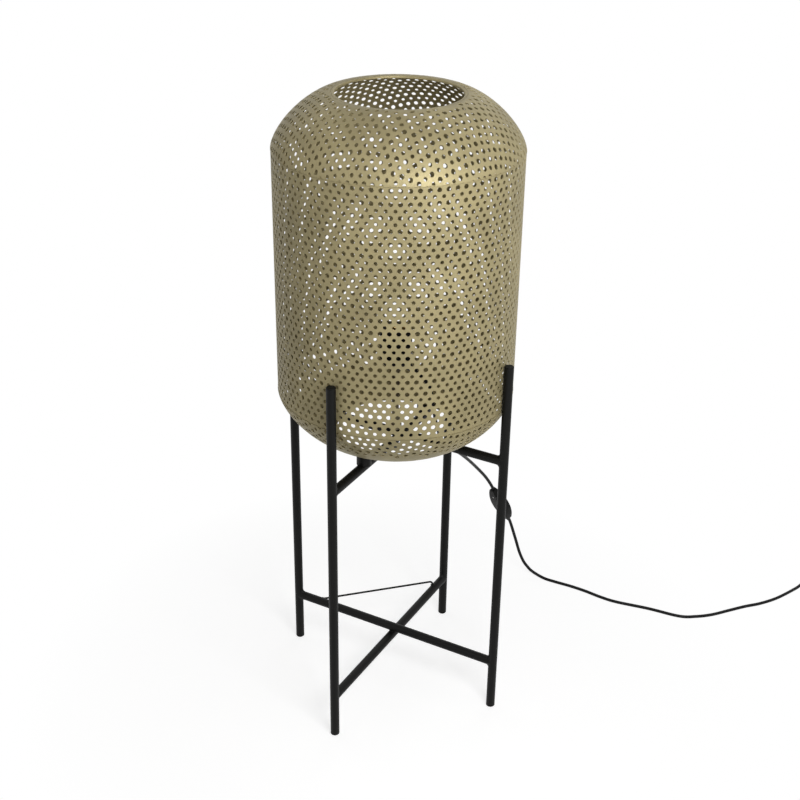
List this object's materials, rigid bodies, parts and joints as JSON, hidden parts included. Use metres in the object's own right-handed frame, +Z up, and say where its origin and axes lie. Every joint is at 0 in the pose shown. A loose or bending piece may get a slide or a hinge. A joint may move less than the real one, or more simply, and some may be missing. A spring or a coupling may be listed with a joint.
{
  "type": "floor lamp",
  "caption": "Low floor lamp: a perforated metal capsule shade held between round tube legs joined by crossed bars, with a lamp holder inside and a lead with an inline rocker switch and a plug.",
  "frame": {"origin": "on the floor, under the vertical axis of the shade", "axes": "+Z up along the shade's axis; the four legs stand on the diagonals of X and Y; the lead leaves towards +X"},
  "size_m": [1.0116, 0.3616, 0.8898],
  "materials": {
    "stand_paint": "satin black paint",
    "shade_metal": "dull antique brass lacquer on perforated sheet",
    "brass": "plain",
    "dark_steel": "blackened",
    "bright_steel": "plated",
    "black_plastic": "matt moulded",
    "insulator": "glazed ceramic or moulding",
    "black_rubber": "smooth sheath"
  },
  "bodies": {
    "lamp": {"leg_front_left": "stand_paint", "leg_front_right": "stand_paint", "leg_back_right": "stand_paint", "leg_back_left": "stand_paint", "leg_caps": "black_plastic", "foot_glides": "black_plastic", "lower_bar_a": "stand_paint", "lower_bar_b": "stand_paint", "upper_bar_a": "stand_paint", "upper_bar_b": "stand_paint", "tie_rod": "stand_paint", "upper_cross_bolt": "dark_steel", "upper_cross_washer": "dark_steel", "shade_spacers": "stand_paint", "shade_screws": "dark_steel", "shade_base": "shade_metal", "shade_body": "shade_metal", "shade_top": "shade_metal", "stem_foot": "brass", "stem": "brass", "stem_locknut": "brass", "holder_cap": "black_plastic", "holder_skirt": "black_plastic", "holder_insert": "insulator", "lamp_thread_shell": "brass", "centre_contact": "brass", "terminal_screws": "brass", "lead_boot": "black_rubber", "lead_to_switch": "black_rubber", "switch_base": "black_plastic", "switch_cover": "black_plastic", "switch_screws": "bright_steel", "switch_contacts": "brass", "lead_on_floor": "black_rubber", "lead_coil": "black_rubber", "lead_to_plug": "black_rubber", "plug_body": "black_plastic", "plug_pins": "bright_steel"},
    "rocker": {"switch_rocker": "black_plastic"}
  },
  "joints": [
    {"name": "rocker_tip", "type": "hinge", "parent": "lamp", "child": "rocker", "pos_m": [0.2388, 0.18708, 0.1496], "axis": [-0.3584, 0.9336, 0], "range_deg": [-16, 0]}
  ]
}
